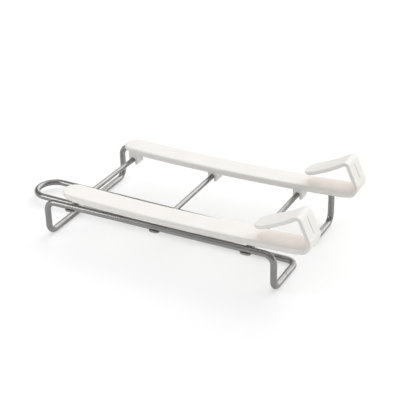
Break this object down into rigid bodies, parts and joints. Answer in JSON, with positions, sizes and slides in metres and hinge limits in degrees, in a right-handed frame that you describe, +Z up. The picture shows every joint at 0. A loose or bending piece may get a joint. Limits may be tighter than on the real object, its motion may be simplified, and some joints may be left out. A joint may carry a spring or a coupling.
{
  "type": "bath bench base frame",
  "caption": "Low bent-tube base with bowed plastic rails on cross tubes; each rail ends in a springy hook that grips a board or tray edge.",
  "frame": {"origin": "on the floor, in the middle of the overall length and depth", "axes": "+X along the rails towards the hooks, +Y from the front rail to the rear rail, +Z up from the floor"},
  "size_m": [0.8717, 0.378, 0.2088],
  "materials": {
    "base_steel": "satin",
    "joint_steel": "bare",
    "rail_plastic": "satin warm white",
    "saddle_plastic": "satin warm white",
    "pad_rubber": "soft beige"
  },
  "bodies": {
    "base": {"front_side_tube": "base_steel", "rear_side_tube": "base_steel", "left_floor_tube": "base_steel", "floor_loop_tube": "base_steel", "front_left_sleeve": "joint_steel", "rear_left_sleeve": "joint_steel", "front_right_sleeve": "joint_steel", "rear_right_sleeve": "joint_steel", "left_cross_tube": "base_steel", "middle_cross_tube": "base_steel", "right_cross_tube": "base_steel"},
    "front_rail": {"front_rail": "rail_plastic", "front_left_saddle": "saddle_plastic", "front_middle_saddle": "saddle_plastic", "front_right_saddle": "saddle_plastic", "front_pad": "pad_rubber"},
    "rear_rail": {"rear_rail": "rail_plastic", "rear_left_saddle": "saddle_plastic", "rear_middle_saddle": "saddle_plastic", "rear_right_saddle": "saddle_plastic", "rear_pad": "pad_rubber"},
    "front_hook": {"front_hook_arm": "rail_plastic"},
    "rear_hook": {"rear_hook_arm": "rail_plastic"}
  },
  "joints": [
    {"name": "front_rail_slide", "type": "slide", "parent": "base", "child": "front_rail", "axis": [0, 1, 0], "range_m": [0, 0.09]},
    {"name": "rear_rail_slide", "type": "slide", "parent": "base", "child": "rear_rail", "axis": [0, -1, 0], "range_m": [0, 0.09]},
    {"name": "front_hook_flex", "type": "hinge", "parent": "front_rail", "child": "front_hook", "pos_m": [0.40109, -0.1505, 0.19582], "axis": [0, 1, 0], "range_deg": [0, 8], "stiffness_Nm_per_rad": 23},
    {"name": "rear_hook_flex", "type": "hinge", "parent": "rear_rail", "child": "rear_hook", "pos_m": [0.40109, 0.1505, 0.19582], "axis": [0, 1, 0], "range_deg": [0, 8], "stiffness_Nm_per_rad": 23}
  ]
}
